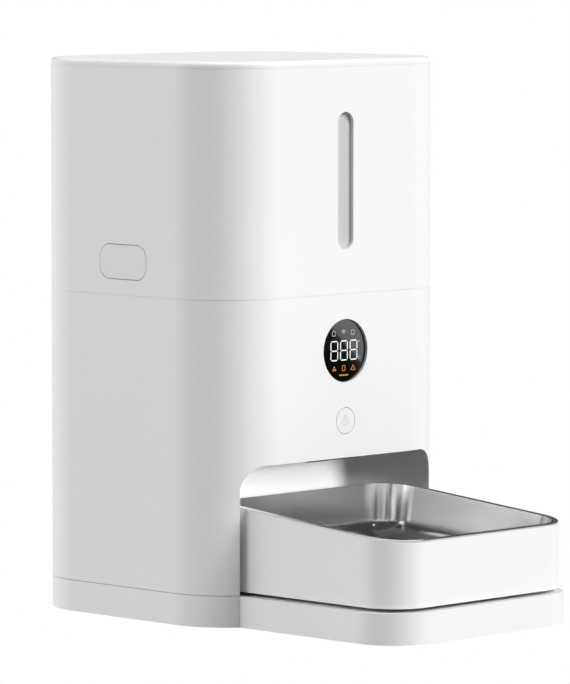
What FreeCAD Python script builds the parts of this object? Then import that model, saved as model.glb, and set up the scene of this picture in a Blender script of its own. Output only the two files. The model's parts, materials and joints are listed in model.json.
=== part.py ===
import FreeCAD, Part
import math
import os
from types import SimpleNamespace

import Sketcher

# Automatic pet feeder: a weighed bowl in an alcove, a geared rotor that portions dry food,
# a lift-off hopper with side release buttons, and a hinged lid. Millimetres, +Z up, front -Y.

V = FreeCAD.Vector
doc = FreeCAD.newDocument("pet_feeder")

# ---------------------------------------------------------------- driving dimensions
VALUES = {
    "tower_half": 101.5, "tower_front": -29.5, "tower_rear": 149.5, "tower_corner": 44,
    "shell_wall": 2.5, "seam_gap": 0.5, "fit_gap": 0.15, "centre_y": 60,
    "foot_height": 1.5, "foot_radius": 7, "base_top": 20.4,
    "mid_seam": 197.9, "lid_seam": 335.7, "full_height": 340,
    "plinth_half": 82.8, "plinth_front": -149.5, "plinth_corner": 29.9,
    "alcove_half": 82.8, "alcove_back": 11, "alcove_top": 98.3, "alcove_corner": 27,
    "alcove_edge": 16, "liner_wall": 2,
    "cover_thick": 2, "screw_hole": 1.45, "screw_shank": 1.45, "screw_clear": 1.8,
    "screw_head": 2.9, "boss_radius": 5, "boss_x": 94.5, "boss_front_y": 22, "boss_rear_y": 98,
    "battery_radius": 16.9, "battery_pitch": 34.6, "battery_axis_z": 21.9,
    "battery_front": 52, "battery_rear": 113, "battery_nub": 4.7, "battery_nub_length": 1.5,
    "box_half": 55.1, "box_front": 45.4, "box_rear": 117, "box_top": 42, "box_wall": 1.6,
    "door_half": 52.6, "door_rear": 115.2, "door_axis_y": 47.4, "door_knuckle": 0.8,
    "door_pin": 0.7, "door_gap": 0.4, "cell_post": 6,
    "holder_half": 79.3, "holder_front": -146.3, "holder_rear": 8.5, "holder_corner": 25.5,
    "holder_floor": 22.65, "holder_wall": 2.5, "rim_front_z": 62.2, "rim_slope": 0.0873,
    "bowl_depth": 33, "bowl_sheet": 0.8, "bowl_taper": 6, "bowl_bottom_round": 12,
    "platform_half": 60, "platform_front": -125, "platform_rear": -15, "platform_top": 22.6,
    "stem_y": -70, "stem_radius": 8,
    "display_z": 163.5, "display_radius": 19.25, "display_recess": 1.7,
    "button_z": 120.8, "button_radius": 7.85, "button_hole": 8.2,
    "board_front": -20.1, "board_thick": 1.6,
    "inlet_z": 32, "inlet_hole": 5.6, "inlet_bore": 2.75,
    "seat_low": 193, "seat_top": 195.5, "well_radius": 62, "well_floor_low": 147.9,
    "outlet_half": 20.4, "outlet_front": 5.1, "outlet_rear": 36.4,
    "hook_front": 52, "hook_rear": 68,
    "gear_module": 0.8, "wheel_teeth": 48, "pinion_teeth": 12, "pressure_angle": 25,
    "gear_backlash": 0.06, "gear_width": 5, "layer_top": 136, "layer_mid": 129,
    "layer_low": 122, "pin_radius": 2, "run_gap": 0.05, "shaft_radius": 4,
    "gearbox_left": -24, "gearbox_right": 60, "gearbox_front": 38.2, "gearbox_rear": 105,
    "gearbox_low": 117, "gearbox_top": 145, "gearbox_wall": 1.5, "gearbox_plate": 2.5,
    "motor_radius": 12.2, "motor_low": 86, "motor_shaft": 1,
    "hex_dog": 6.7, "hex_socket": 7.16,
    "chamber_radius": 58, "chamber_low": 152.5, "chamber_top": 196, "bin_wall": 1.8,
    "bin_floor": 236, "bin_top": 330, "bin_inset": 5, "cone_radius": 82.5,
    "window_half": 6.65, "window_low": 225, "window_top": 308.3,
    "release_y": 59.5, "release_z": 218, "release_half_y": 20, "release_half_z": 10.35,
    "release_corner": 8, "release_gap": 0.4, "hook_reach": 95.1,
    "rotor_radius": 56.5, "vane_thick": 2, "vane_low": 156, "vane_top": 186,
    "hinge_y": 147.47, "hinge_z": 337.97, "hinge_pin": 0.8, "hinge_barrel": 2.03,
    "lug_inner": 30, "lug_outer": 40, "lid_edge_round": 2.6,
    "desiccant_radius": 30,
}


class Size:
    """A length that carries its number and the sheet expression that it comes from."""

    def __init__(self, number, text):
        self.number = number
        self.text = text

    def join(self, other, sign, number):
        return Size(number, "(%s %s %s)" % (self.text, sign, other.text))

    def __add__(self, other):
        other = as_size(other)
        return self.join(other, "+", self.number + other.number)

    def __sub__(self, other):
        other = as_size(other)
        return self.join(other, "-", self.number - other.number)

    def __mul__(self, other):
        other = as_size(other)
        return self.join(other, "*", self.number * other.number)

    def __truediv__(self, other):
        other = as_size(other)
        return self.join(other, "/", self.number / other.number)

    def __radd__(self, other):
        return as_size(other) + self

    def __rsub__(self, other):
        return as_size(other) - self

    def __rmul__(self, other):
        return as_size(other) * self

    def __neg__(self):
        return Size(-self.number, "(-1 * %s)" % self.text)


def as_size(value):
    if isinstance(value, Size):
        return value
    return Size(float(value), "(%.6f)" % value)


def write_sheet():
    sheet = doc.addObject("Spreadsheet::Sheet", "Dims")
    for row, (alias, value) in enumerate(VALUES.items(), start=1):
        sheet.set("A%d" % row, alias)
        sheet.set("B%d" % row, str(value))
        sheet.setAlias("B%d" % row, alias)
    doc.recompute()
    return SimpleNamespace(**{a: Size(float(v), "Dims." + a) for a, v in VALUES.items()})


dim = write_sheet()

# ---------------------------------------------------------------- sketch outlines
AXIS_PLANES = {"X": ("YZ_Plane", 1), "Y": ("XZ_Plane", -1), "Z": ("XY_Plane", 1)}


def point_of(u, v):
    return V(as_size(u).number, as_size(v).number, 0)


def hold(sketch, kind, *where):
    """Adds a driving constraint whose value is bound to the sheet."""
    size = as_size(where[-1])
    index = sketch.addConstraint(Sketcher.Constraint(kind, *where[:-1], size.number))
    name = "size_%d" % index
    sketch.renameConstraint(index, name)
    sketch.setExpression("Constraints." + name, size.text)


def circles(centres, radius):
    def draw(sketch):
        for u, v in centres:
            shape = Part.Circle(point_of(u, v), V(0, 0, 1), as_size(radius).number)
            curve = sketch.addGeometry(shape, False)
            hold(sketch, "DistanceX", -1, 1, curve, 3, u)
            hold(sketch, "DistanceY", -1, 1, curve, 3, v)
            hold(sketch, "Radius", curve, radius)
    return draw


def circle(u, v, radius):
    return circles([(u, v)], radius)


def polygon(*corners):
    def draw(sketch):
        count = len(corners)
        for i in range(count):
            line = Part.LineSegment(point_of(*corners[i]), point_of(*corners[(i + 1) % count]))
            sketch.addGeometry(line, False)
        for i, (u, v) in enumerate(corners):
            sketch.addConstraint(Sketcher.Constraint("Coincident", i, 2, (i + 1) % count, 1))
            hold(sketch, "DistanceX", -1, 1, i, 1, u)
            hold(sketch, "DistanceY", -1, 1, i, 1, v)
    return draw


def block(left, right, low, high):
    return polygon((left, low), (right, low), (right, high), (left, high))


def rounded(left, right, low, high, radius):
    """Rectangle with four equal round corners."""
    a, b, c, d, q = [as_size(value).number for value in (left, right, low, high, radius)]

    def draw(sketch):
        def line(x1, y1, x2, y2):
            sketch.addGeometry(Part.LineSegment(V(x1, y1, 0), V(x2, y2, 0)), False)

        def arc(x, y, start):
            ring = Part.Circle(V(x, y, 0), V(0, 0, 1), q)
            end = math.radians(start + 90)
            sketch.addGeometry(Part.ArcOfCircle(ring, math.radians(start), end), False)

        line(a + q, c, b - q, c)
        arc(b - q, c + q, 270)
        line(b, c + q, b, d - q)
        arc(b - q, d - q, 0)
        line(b - q, d, a + q, d)
        arc(a + q, d - q, 90)
        line(a, d - q, a, c + q)
        arc(a + q, c + q, 180)
        for i in range(8):
            sketch.addConstraint(Sketcher.Constraint("Tangent", i, 2, (i + 1) % 8, 1))
        for kind, i in (("Horizontal", 0), ("Vertical", 2), ("Horizontal", 4), ("Vertical", 6)):
            sketch.addConstraint(Sketcher.Constraint(kind, i))
        for i in (3, 5, 7):
            sketch.addConstraint(Sketcher.Constraint("Equal", 1, i))
        hold(sketch, "Radius", 1, radius)
        hold(sketch, "DistanceX", -1, 1, 6, 1, left)
        hold(sketch, "DistanceX", -1, 1, 2, 1, right)
        hold(sketch, "DistanceY", -1, 1, 0, 1, low)
        hold(sketch, "DistanceY", -1, 1, 4, 1, high)
    return draw


def tower(inset):
    """The tower's plan outline, moved inwards by inset."""
    return rounded(inset - dim.tower_half, dim.tower_half - inset, dim.tower_front + inset,
                   dim.tower_rear - inset, dim.tower_corner - inset)


def plinth(inset, rear):
    """The bowl plinth's plan outline, moved inwards by inset; its rear lies inside the tower."""
    return rounded(inset - dim.plinth_half, dim.plinth_half - inset, dim.plinth_front + inset,
                   rear, dim.plinth_corner - inset)


# ---------------------------------------------------------------- features
nodes = []


def keep(feature):
    """Marks a finished sub-part, whose Label names its file."""
    nodes.append(feature)
    return feature


def new_body(label):
    body = doc.addObject("PartDesign::Body", label)
    body.Label = label
    return body


def sketch_on(body, axis, position, outline):
    role, sign = AXIS_PLANES[axis]
    plane = [item for item in body.Origin.OriginFeatures if item.Role == role][0]
    sketch = body.newObject("Sketcher::SketchObject", body.Name + "_sketch")
    sketch.AttachmentSupport = (plane, [""])
    sketch.MapMode = "FlatFace"
    sketch.setExpression("AttachmentOffset.Base.z", (as_size(position) * sign).text)
    outline(sketch)
    return sketch


def pad(body, axis, low, high, outline, taper=None):
    """Adds material between two positions on an axis."""
    start = high if axis == "Y" else low
    feature = body.newObject("PartDesign::Pad", body.Name + "_pad")
    feature.Profile = sketch_on(body, axis, start, outline)
    feature.setExpression("Length", (as_size(high) - low).text)
    if taper is not None:
        feature.setExpression("TaperAngle", as_size(taper).text)
    doc.recompute()
    return feature


def pocket(body, axis, low, high, outline):
    """Cuts between two positions on an axis, and makes sure that it removes something."""
    doc.recompute()
    before = body.Shape.Volume
    start = high if axis == "Y" else low
    feature = body.newObject("PartDesign::Pocket", body.Name + "_pocket")
    feature.Profile = sketch_on(body, axis, start, outline)
    feature.setExpression("Length", (as_size(high) - low).text)
    feature.Reversed = True
    doc.recompute()
    if body.Shape.isNull() or body.Shape.Volume > before - 1e-3:
        raise RuntimeError("%s: this pocket cuts nothing" % body.Label)
    return feature


def turn(body, y, *corners, cut=False):
    """Adds or cuts a turned shape about the vertical axis at x 0 and the given y."""
    kind = "PartDesign::Groove" if cut else "PartDesign::Revolution"
    feature = body.newObject(kind, body.Name + "_turn")
    sketch = sketch_on(body, "Y", y, polygon(*corners))
    feature.Profile = sketch
    feature.ReferenceAxis = (sketch, ["V_Axis"])
    feature.Angle = 360
    doc.recompute()
    return feature


def ring_copies(body, feature, count):
    """Repeats a feature round the body's own vertical axis."""
    pattern = body.newObject("PartDesign::PolarPattern", body.Name + "_ring")
    pattern.Originals = [feature]
    axis = [item for item in body.Origin.OriginFeatures if item.Role == "Z_Axis"][0]
    pattern.Axis = (axis, [""])
    pattern.Angle = 360
    pattern.Occurrences = count
    body.Tip = pattern
    doc.recompute()


def round_edges(body, radius, chooser):
    """Rounds the edges of the body's tip that the chooser picks."""
    doc.recompute()
    names = ["Edge%d" % (i + 1) for i, edge in enumerate(body.Shape.Edges) if chooser(edge)]
    base = body.Tip
    feature = body.newObject("PartDesign::Fillet", body.Name + "_round")
    feature.Base = (base, names)
    feature.setExpression("Radius", as_size(radius).text)
    body.Tip = feature
    doc.recompute()


def edge_at_height(level):
    height = as_size(level).number

    def chooser(edge):
        box = edge.BoundBox
        return abs(box.ZMin - height) < 1e-3 and abs(box.ZMax - height) < 1e-3
    return chooser


def boolean(kind, label, base, tool):
    feature = doc.addObject("Part::" + kind, label)
    feature.Label = label
    feature.Base = base
    feature.Tool = tool
    doc.recompute()
    return feature


def shape_node(label, shape, placement=None):
    """A sub-part whose shape is made with Part's own functions."""
    feature = doc.addObject("Part::Feature", label)
    feature.Label = label
    feature.Shape = shape
    if placement is not None:
        feature.Placement = placement
    return keep(feature)


def both_sides(x, *rows):
    """Points at -x and +x in each row."""
    return [(side * x, row) for row in rows for side in (-1, 1)]


BOSSES = both_sides(dim.boss_x, dim.boss_front_y, dim.boss_rear_y)
COVER_SCREWS = both_sides(75, 30, 102) + both_sides(65, -112)
BOARD_POSTS = both_sides(20, 112, 184)
MAIN_POSTS = both_sides(33, 67, 123)
GEARBOX_POSTS = [(x, y) for x in (-19.5, 55.5) for y in (42.5, 100.5)]
SHELL_LOW = dim.base_top + dim.seam_gap * 0.6
SHELL_TOP = dim.mid_seam - dim.seam_gap / 2
HOPPER_LOW = dim.mid_seam + dim.seam_gap / 2
HOPPER_TOP = dim.lid_seam - dim.seam_gap / 2
LID_LOW = dim.lid_seam + dim.seam_gap / 2
INNER = dim.shell_wall + dim.fit_gap


# ---------------------------------------------------------------- base and bowl
def make_base_shell():
    body = new_body("base_shell")
    inside_top = dim.base_top - dim.shell_wall
    pad(body, "Z", dim.foot_height, dim.base_top, tower(0))
    pad(body, "Z", dim.foot_height, dim.base_top, plinth(0, dim.tower_front + 40))
    pocket(body, "Z", dim.foot_height, inside_top, tower(dim.shell_wall))
    pocket(body, "Z", dim.foot_height, inside_top, plinth(dim.shell_wall, dim.tower_front + 30))
    pad(body, "Z", dim.foot_height + dim.cover_thick, inside_top + 1, circles(COVER_SCREWS, 4))
    pocket(body, "Z", dim.foot_height, inside_top - 3, circles(COVER_SCREWS, dim.screw_hole))
    battery_hole = rounded(-dim.box_half - 0.4, dim.box_half + 0.4, dim.box_front - 0.4,
                           dim.box_rear + 0.4, 2.5)
    pocket(body, "Z", inside_top - 1, dim.base_top + 1, battery_hole)
    stem_hole = circle(0, dim.stem_y, dim.stem_radius + 2)
    pocket(body, "Z", inside_top - 1, dim.base_top + 1, stem_hole)
    pocket(body, "Z", inside_top - 1, dim.base_top + 1, circles(BOSSES, dim.screw_clear))
    keep(body)


def make_bottom_cover():
    body = new_body("bottom_cover")
    low = dim.foot_height
    top = low + dim.cover_thick
    pad(body, "Z", low, top, tower(INNER))
    pad(body, "Z", low, top, plinth(INNER, dim.tower_front + 30))
    pad(body, "Z", top, 6, circle(0, -105, dim.cell_post))
    side = dim.door_half + dim.door_gap
    opening = rounded(-side, side, dim.door_axis_y - dim.door_knuckle - dim.door_gap,
                      dim.door_rear + dim.door_gap, 1)
    pocket(body, "Z", low, top, opening)
    pocket(body, "Z", low, top, circles(COVER_SCREWS, dim.screw_clear))
    pocket(body, "Z", low, low + 1.3, circles(COVER_SCREWS, dim.screw_head + 0.2))
    for start, end in ((-54.2, -52), (52, 54.2)):
        socket = circle(dim.door_axis_y, low + 1, dim.door_pin + dim.run_gap)
        pocket(body, "X", start, end, socket)
    keep(body)


def make_battery_door():
    body = new_body("battery_door")
    half = dim.door_half
    axis_z = dim.foot_height + dim.cover_thick / 2
    pad(body, "Z", dim.foot_height + 0.15, dim.foot_height + 1.85,
        rounded(-half, half, dim.door_axis_y, dim.door_rear, 1))
    pad(body, "X", -half, half, circle(dim.door_axis_y, axis_z, dim.door_knuckle))
    for start, end in ((-54, -half + 0.5), (half - 0.5, 54)):
        pad(body, "X", start, end, circle(dim.door_axis_y, axis_z, dim.door_pin))
    keep(body)


def make_battery_box():
    body = new_body("battery_box")
    low = dim.foot_height + dim.cover_thick
    wall = dim.box_wall
    pad(body, "Z", low, dim.box_top,
        rounded(-dim.box_half, dim.box_half, dim.box_front, dim.box_rear, 2.5))
    pocket(body, "Z", low, dim.box_top - wall,
           rounded(wall - dim.box_half, dim.box_half - wall, dim.box_front + wall,
                   dim.box_rear - wall, 0.9))
    keep(body)


CELL_CENTRES = [(side * dim.battery_pitch, dim.battery_axis_z) for side in (-1, 0, 1)]


def make_battery_cells():
    body = new_body("battery_cells")
    pad(body, "Y", dim.battery_front, dim.battery_rear,
        circles(CELL_CENTRES, dim.battery_radius))
    pad(body, "Y", dim.battery_rear, dim.battery_rear + dim.battery_nub_length,
        circles(CELL_CENTRES, dim.battery_nub))
    keep(body)


def coil_shape(wire, radius, length, turns):
    """A round-wire coil spring along +Z from the origin, bent in short straight lengths."""
    per_turn = 10
    count = turns * per_turn
    points = []
    for i in range(count + 1):
        angle = 2 * math.pi * i / per_turn
        points.append(V(radius * math.cos(angle), radius * math.sin(angle), length * i / count))
    section = Part.Wire(Part.makeCircle(wire, points[0], points[1] - points[0]))
    shell = Part.BRepOffsetAPI.MakePipeShell(Part.makePolygon(points))
    shell.setTransitionMode(1)
    shell.add(section)
    shell.build()
    shell.makeSolid()
    return shell.shape()


def make_battery_contacts():
    pieces = []
    for side in (-1, 0, 1):
        x = side * dim.battery_pitch.number
        z = dim.battery_axis_z.number
        pieces.append(Part.makeBox(16, 0.7, 20, V(x - 8, 47.1, z - 10)))
        pieces.append(Part.makeBox(16, 0.7, 20, V(x - 8, 114.6, z - 10)))
        coil = coil_shape(0.4, 5, 3.2, 3)
        coil.Placement = FreeCAD.Placement(V(x, 48.3, z), FreeCAD.Rotation(V(1, 0, 0), -90))
        pieces.append(coil)
    shape_node("battery_contacts", Part.makeCompound(pieces))


def make_rubber_feet():
    body = new_body("rubber_feet")
    places = both_sides(84, 62) + both_sides(60, -128) + both_sides(62, 132)
    pad(body, "Z", 0, dim.foot_height, circles(places, dim.foot_radius))
    keep(body)


def screws(label, axis, places, head_low, head_high, shank_low, shank_high, head=None,
           shank=None):
    """A group of equal round-head screws along one axis."""
    body = new_body(label)
    pad(body, axis, head_low, head_high, circles(places, head or dim.screw_head))
    pad(body, axis, shank_low, shank_high, circles(places, shank or dim.screw_shank))
    keep(body)


def make_base_screws():
    low = dim.foot_height
    screws("base_screws", "Z", COVER_SCREWS, low + 0.1, low + 1.3, low + 1.3, 14)


def make_housing_screws():
    inside_top = dim.base_top - dim.shell_wall
    screws("housing_screws", "Z", BOSSES, inside_top - 1.6, inside_top, inside_top, 32)


def make_load_cell():
    body = new_body("load_cell")
    pad(body, "Z", 6, 13, block(-6, 6, -112, dim.stem_y + 10))
    pocket(body, "X", -7, 7, circles([(-92, 9.5), (-87, 9.5)], 2.4))
    keep(body)


def make_weigh_platform():
    body = new_body("weigh_platform")
    pad(body, "Z", dim.base_top + 0.6, dim.platform_top,
        rounded(-dim.platform_half, dim.platform_half, dim.platform_front, dim.platform_rear, 12))
    pad(body, "Z", 13, dim.base_top + 0.7, circle(0, dim.stem_y, dim.stem_radius))
    keep(body)


def rim_height(y):
    """Height of the sloping rim plane at a y position."""
    return dim.rim_front_z + dim.rim_slope * (y - dim.holder_front)


def make_bowl_holder():
    body = new_body("bowl_holder")
    wall = dim.holder_wall
    pad(body, "Z", dim.holder_floor, 80,
        rounded(-dim.holder_half, dim.holder_half, dim.holder_front, dim.holder_rear,
                dim.holder_corner))
    pocket(body, "Z", dim.holder_floor + wall, 80,
           rounded(wall - dim.holder_half, dim.holder_half - wall, dim.holder_front + wall,
                   dim.holder_rear - wall, dim.holder_corner - wall))
    low_y = dim.holder_front - 10
    high_y = dim.holder_rear + 10
    drop = dim.bowl_sheet + 0.05
    pocket(body, "X", -90, 90,
           polygon((low_y, rim_height(low_y) - drop), (high_y, rim_height(high_y) - drop),
                   (high_y, 100), (low_y, 100)))
    keep(body)


def bowl_solid(label, inset, flange):
    """The bowl's pan as a solid hanging from its rim plane, in the rim's own frame."""
    body = new_body(label)
    half_x = dim.holder_half - 3.5 - inset
    half_y = (dim.holder_rear - dim.holder_front) / 2 - 3.2 - inset
    depth = dim.bowl_depth - inset
    if flange:
        rim_x = dim.holder_half - 0.2
        rim_y = (dim.holder_rear - dim.holder_front) / 2
        pad(body, "Z", -dim.bowl_sheet, 0,
            rounded(-rim_x, rim_x, -rim_y, rim_y, dim.holder_corner))
    pan = body.newObject("PartDesign::Pad", label + "_pan")
    pan.Profile = sketch_on(body, "Z", 0, rounded(-half_x, half_x, -half_y, half_y, 22 - inset))
    pan.setExpression("Length", depth.text)
    pan.setExpression("TaperAngle", (-dim.bowl_taper).text)
    pan.Reversed = True
    doc.recompute()
    round_edges(body, dim.bowl_bottom_round - inset, edge_at_height(-depth))
    return body


def make_steel_bowl():
    outer = bowl_solid("steel_bowl_outside", 0, True)
    inner = bowl_solid("steel_bowl_inside", dim.bowl_sheet, False)
    bowl = boolean("Cut", "steel_bowl", outer, inner)
    middle = (dim.holder_front + dim.holder_rear) / 2
    centre = V(0, middle.number, rim_height(middle).number)
    tilt = math.degrees(math.atan(dim.rim_slope.number))
    bowl.Placement = FreeCAD.Placement(centre, FreeCAD.Rotation(V(1, 0, 0), tilt))
    bowl.setExpression("Placement.Base.y", middle.text)
    bowl.setExpression("Placement.Base.z", rim_height(middle).text)
    keep(bowl)


# ---------------------------------------------------------------- lower housing
def alcove_solid(label, grow):
    """The alcove's space, or its liner's outside when grown by the liner's wall."""
    body = new_body(label)
    half = dim.alcove_half + grow
    top = dim.alcove_top + grow
    pad(body, "Z", SHELL_LOW - 1, top,
        rounded(-half, half, -90, dim.alcove_back + grow, dim.alcove_corner + grow))
    round_edges(body, dim.alcove_edge + grow, edge_at_height(top))
    return body


def make_lower_housing():
    tube = new_body("lower_housing_tube")
    wall = dim.shell_wall
    inner_rear = dim.tower_rear - wall
    inner_front = dim.tower_front + wall
    pad(tube, "Z", SHELL_LOW, SHELL_TOP, tower(0))
    pocket(tube, "Z", SHELL_LOW - 1, SHELL_TOP + 1, tower(wall))
    pad(tube, "Z", dim.base_top, 46, circles(BOSSES, dim.boss_radius))
    pocket(tube, "Z", dim.base_top, 38, circles(BOSSES, dim.screw_hole))
    pad(tube, "Z", 160, dim.seat_low, circles(BOSSES, dim.boss_radius))
    pocket(tube, "Z", 172, dim.seat_low, circles(BOSSES, dim.screw_hole))
    pad(tube, "Y", inner_front - 1, dim.board_front, circles(BOARD_POSTS, 3))
    pocket(tube, "Y", inner_front + 1, dim.board_front, circles(BOARD_POSTS, 1))
    pad(tube, "Y", 142, inner_rear + 1, circles(MAIN_POSTS, 3))
    pocket(tube, "Y", 142, inner_rear - 1, circles(MAIN_POSTS, 1))
    pocket(tube, "Y", dim.tower_front - 1, inner_front + 1,
           circle(0, dim.display_z, dim.display_radius))
    pocket(tube, "Y", dim.tower_front - 1, inner_front + 1,
           circle(0, dim.button_z, dim.button_hole))
    pocket(tube, "Y", inner_rear - 1, dim.tower_rear + 1,
           circle(0, dim.inlet_z, dim.inlet_hole))
    space = alcove_solid("alcove_space", 0)
    keep(boolean("Cut", "lower_housing", tube, space))


def make_alcove_liner():
    skin = boolean("Cut", "alcove_skin", alcove_solid("alcove_outside", dim.liner_wall),
                   alcove_solid("alcove_inside", 0))
    limit = new_body("alcove_limit")
    pad(limit, "Z", SHELL_LOW, 120, tower(INNER))
    pocket(limit, "Z", 85, 121, block(-22.6, 22.6, -20.6, 6.8))
    keep(boolean("Common", "alcove_liner", skin, limit))


def make_hopper_seat():
    body = new_body("hopper_seat")
    floor_top = dim.well_floor_low + dim.shell_wall
    y = dim.centre_y
    pad(body, "Z", dim.seat_low, dim.seat_top, tower(INNER))
    pad(body, "Z", dim.well_floor_low, dim.seat_top, circle(0, y, dim.well_radius + 2.5))
    pocket(body, "Z", floor_top, dim.seat_top + 1, circle(0, y, dim.well_radius))
    pocket(body, "Z", dim.well_floor_low - 1, floor_top, circle(0, y, 7.6))
    pocket(body, "Z", dim.well_floor_low - 1, floor_top,
           rounded(-dim.outlet_half, dim.outlet_half, dim.outlet_front, dim.outlet_rear, 2))
    for left, right in ((88, dim.hook_reach + 0.3), (-dim.hook_reach - 0.3, -88)):
        pocket(body, "Z", dim.seat_low - 1, dim.seat_top + 1,
               rounded(left, right, dim.hook_front, dim.hook_rear, 1))
    pocket(body, "Z", dim.seat_low - 1, dim.seat_top + 1, circles(BOSSES, dim.screw_clear))
    pad(body, "Z", dim.seat_top - 1, HOPPER_LOW - 0.05, circles(both_sides(72, -2, 122), 5))
    keep(body)


def make_seat_screws():
    screws("seat_screws", "Z", BOSSES, dim.seat_top, dim.seat_top + 1.7, 180, dim.seat_top)


def make_chute():
    body = new_body("food_chute")
    top = dim.well_floor_low
    wall = dim.box_wall
    half = dim.outlet_half + wall
    pad(body, "X", -half, half, polygon((3.5, top), (38, top), (3, 96), (-19, 96)))
    pad(body, "Z", top - 2, top, block(-30, 30, 10, 30))
    inner = polygon((3.5 + wall, top + 0.01), (38 - wall, top + 0.01), (3 - wall, 95.99),
                    (wall - 19, 95.99))
    pocket(body, "X", -dim.outlet_half, dim.outlet_half, inner)
    keep(body)


def make_food_sensors():
    body = new_body("food_sensors")
    half = dim.outlet_half + dim.box_wall
    for start, end in ((half, half + 5), (-half - 5, -half)):
        pad(body, "X", start, end, block(-8, 2, 104, 112))
    keep(body)


# ---------------------------------------------------------------- front controls
def make_display():
    front = dim.tower_front + dim.display_recess
    z = dim.display_z
    lens = new_body("display_lens")
    pad(lens, "Y", front, front + 3, circle(0, z, dim.display_radius - 0.1))
    keep(lens)
    bezel = new_body("display_bezel")
    bezel_front = dim.tower_front + INNER
    pad(bezel, "Y", bezel_front, dim.board_front, circle(0, z, dim.display_radius + 3.5))
    pocket(bezel, "Y", bezel_front, front + 3, circle(0, z, dim.display_radius - 0.1))
    pocket(bezel, "Y", front + 3, dim.board_front, rounded(-15.1, 15.1, z - 12.1, z + 12.1, 1))
    keep(bezel)
    module = new_body("display_module")
    pad(module, "Y", front + 3.1, dim.board_front, rounded(-15, 15, z - 12, z + 12, 1))
    keep(module)


def make_display_board():
    body = new_body("display_board")
    front = dim.board_front
    rear = front + dim.board_thick
    pad(body, "Y", front, rear, rounded(-24, 24, 106, 189, 2))
    pad(body, "Y", rear - 0.1, rear + 1.6, block(-6, 6, 136, 148))
    pocket(body, "Y", front, rear, circles(BOARD_POSTS, 1.2))
    keep(body)


def make_feed_button():
    body = new_body("feed_button")
    z = dim.button_z
    front = dim.tower_front
    pad(body, "Y", front, front + 3, circle(0, z, dim.button_radius))
    pad(body, "Y", front + INNER, front + 3.9, circle(0, z, dim.button_radius + 1.8))
    pad(body, "Y", front + 3.8, front + 4.4, circle(0, z, 2.5))
    keep(body)


def make_feed_button_spring():
    start = dim.tower_front.number + 3.95
    length = dim.board_front.number - start - 0.85
    place = FreeCAD.Placement(V(0, start + 0.4, dim.button_z.number),
                              FreeCAD.Rotation(V(1, 0, 0), -90))
    shape_node("feed_button_spring", coil_shape(0.35, 6.5, length, 3), place)


def make_tact_switch():
    body = new_body("tact_switch")
    z = dim.button_z
    pad(body, "Y", dim.board_front - 3.1, dim.board_front, block(-3, 3, z - 3, z + 3))
    pad(body, "Y", dim.board_front - 3.9, dim.board_front - 3, circle(0, z, 1.7))
    keep(body)


def make_main_board():
    body = new_body("main_board")
    front = 142 - dim.board_thick
    pad(body, "Y", front, 142, rounded(-38, 38, 62, 128, 2))
    for left, right, low, high, height in ((-14, 4, 84, 102, 2.5), (14, 26, 96, 112, 4),
                                           (-32, -22, 82, 90, 8), (16, 34, 74, 80, 6)):
        pad(body, "Y", front - height, front + 0.1, block(left, right, low, high))
    pocket(body, "Y", front - 0.1, 142.1, circles(MAIN_POSTS, 1.2))
    keep(body)


def make_buzzer():
    body = new_body("buzzer")
    rear = 142 - dim.board_thick
    pad(body, "Y", rear - 7, rear, circle(-18, 114, 6))
    pocket(body, "Y", rear - 7, rear - 5, circle(-18, 114, 1.2))
    keep(body)


def make_board_screws():
    body = new_body("board_screws")
    rear = dim.board_front + dim.board_thick
    pad(body, "Y", rear, rear + 1.2, circles(BOARD_POSTS, 2))
    pad(body, "Y", dim.board_front - 4, rear, circles(BOARD_POSTS, 1))
    front = 142 - dim.board_thick
    pad(body, "Y", front - 1.2, front, circles(MAIN_POSTS, 2))
    pad(body, "Y", front, 145.5, circles(MAIN_POSTS, 1))
    keep(body)


def make_power_inlet():
    body = new_body("power_inlet")
    z = dim.inlet_z
    inner_rear = dim.tower_rear - dim.shell_wall
    pad(body, "Y", 134, inner_rear - 0.05, block(-7, 7, z - 6, z + 6))
    pad(body, "Y", inner_rear - 1, dim.tower_rear - 0.2, circle(0, z, dim.inlet_hole - 0.15))
    pocket(body, "Y", dim.tower_rear - 9.2, dim.tower_rear, circle(0, z, dim.inlet_bore))
    pad(body, "Y", dim.tower_rear - 10, dim.tower_rear - 1.2, circle(0, z, 1))
    keep(body)


# ---------------------------------------------------------------- gear train
STAGE = dim.gear_module * (dim.wheel_teeth + dim.pinion_teeth) / 2
STAGE_ANGLES = (0, 60, 150)


def stage_centres():
    """Axis positions of the output wheel, second gear, first gear and motor."""
    centres = [V(0, dim.centre_y.number, 0)]
    for angle in STAGE_ANGLES:
        turn_angle = math.radians(angle)
        step = V(math.cos(turn_angle), math.sin(turn_angle), 0) * STAGE.number
        centres.append(centres[-1] + step)
    return centres


OUTPUT, SECOND, FIRST, MOTOR = stage_centres()


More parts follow.
